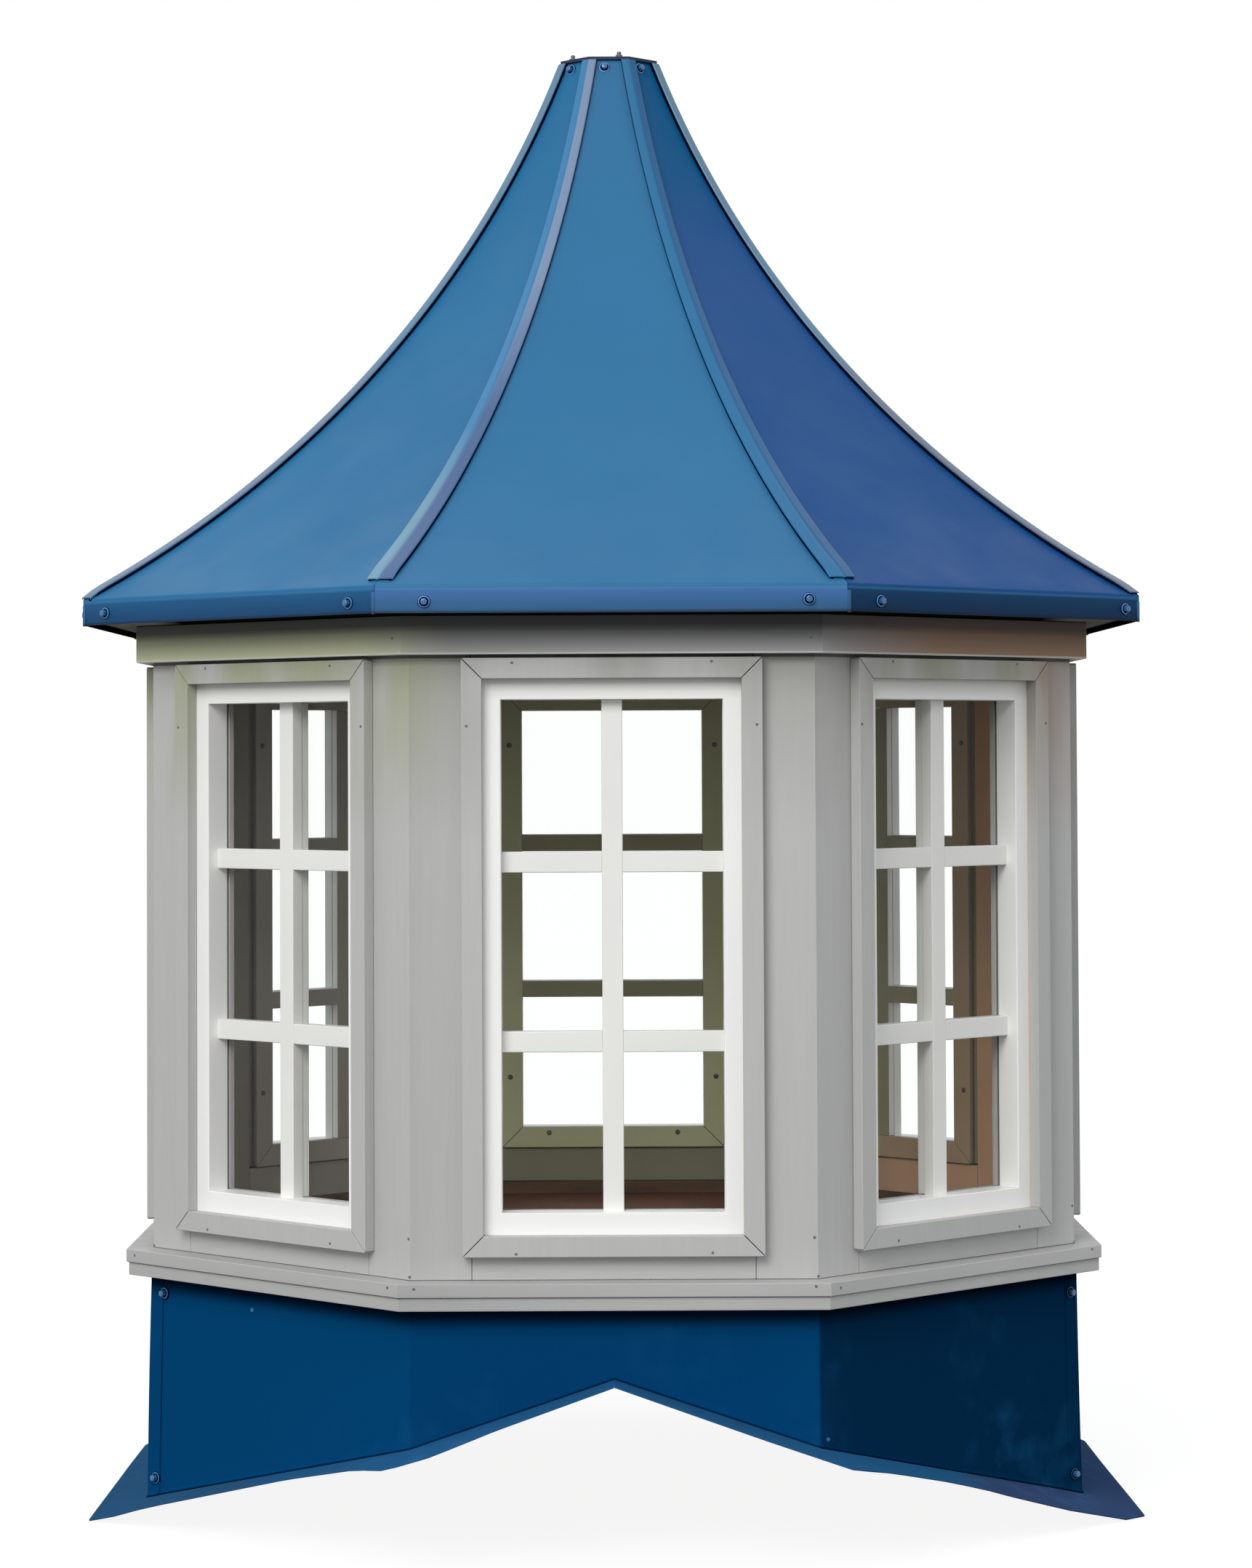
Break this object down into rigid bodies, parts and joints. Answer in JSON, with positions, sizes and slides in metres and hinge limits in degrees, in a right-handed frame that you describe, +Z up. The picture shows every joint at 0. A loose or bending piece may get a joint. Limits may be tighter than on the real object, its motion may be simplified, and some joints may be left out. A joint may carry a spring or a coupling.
{
  "type": "octagonal roof cupola",
  "caption": "Octagonal roof cupola with a concave blue metal roof, white paned windows between pale corner boards, a stepped ledge and a metal base cut to sit astride a gable ridge.",
  "frame": {"origin": "under the middle of the cupola, at the height of the lowest edge of the roof flashing", "axes": "+Z up; +Y along the ridge of the gable roof that it stands on; the front face looks along -Y, +X to its right"},
  "size_m": [1.3956, 1.3956, 1.9676],
  "materials": {
    "roof_metal": "satin blue coil-coated sheet",
    "cap_metal": "satin blue coil-coated sheet, worn pale on the folds",
    "skirt_metal": "satin dark blue coil-coated sheet",
    "flashing_metal": "satin blue coil-coated sheet, hand cut at its edge",
    "dark_metal": "dark blue sheet",
    "trim_board": "matte pale grey cellular plastic trim board",
    "sash_white": "white satin plastic",
    "frame_wood": "bare framing wood and plywood",
    "window_glass": "clear sheet"
  },
  "bodies": {
    "root": {"flashing_left": "flashing_metal", "flashing_right": "flashing_metal", "skirt_front": "skirt_metal", "skirt_back": "skirt_metal", "skirt_left": "skirt_metal", "skirt_right": "skirt_metal", "base_frame": "frame_wood", "sole_plate": "frame_wood", "floor_deck": "frame_wood", "ledge_lower": "trim_board", "ledge_upper": "trim_board", "corner_boards": "trim_board", "sill_boards": "trim_board", "header_boards": "trim_board", "frieze": "trim_board", "casing_front": "trim_board", "casing_front_right": "trim_board", "casing_right": "trim_board", "casing_back_right": "trim_board", "casing_back": "trim_board", "casing_back_left": "trim_board", "casing_left": "trim_board", "casing_front_left": "trim_board", "window_front": "sash_white", "window_front_right": "sash_white", "window_right": "sash_white", "window_back_right": "sash_white", "window_back": "sash_white", "window_back_left": "sash_white", "window_left": "sash_white", "window_front_left": "sash_white", "glazing_stops": "sash_white", "glass_panes": "window_glass", "ceiling_deck": "frame_wood", "roof_ribs": "frame_wood", "apex_block": "frame_wood", "roof_front": "roof_metal", "roof_front_right": "roof_metal", "roof_right": "roof_metal", "roof_back_right": "roof_metal", "roof_back": "roof_metal", "roof_back_left": "roof_metal", "roof_left": "roof_metal", "roof_front_left": "roof_metal", "hip_caps": "cap_metal", "top_plate": "dark_metal"}
  },
  "joints": []
}
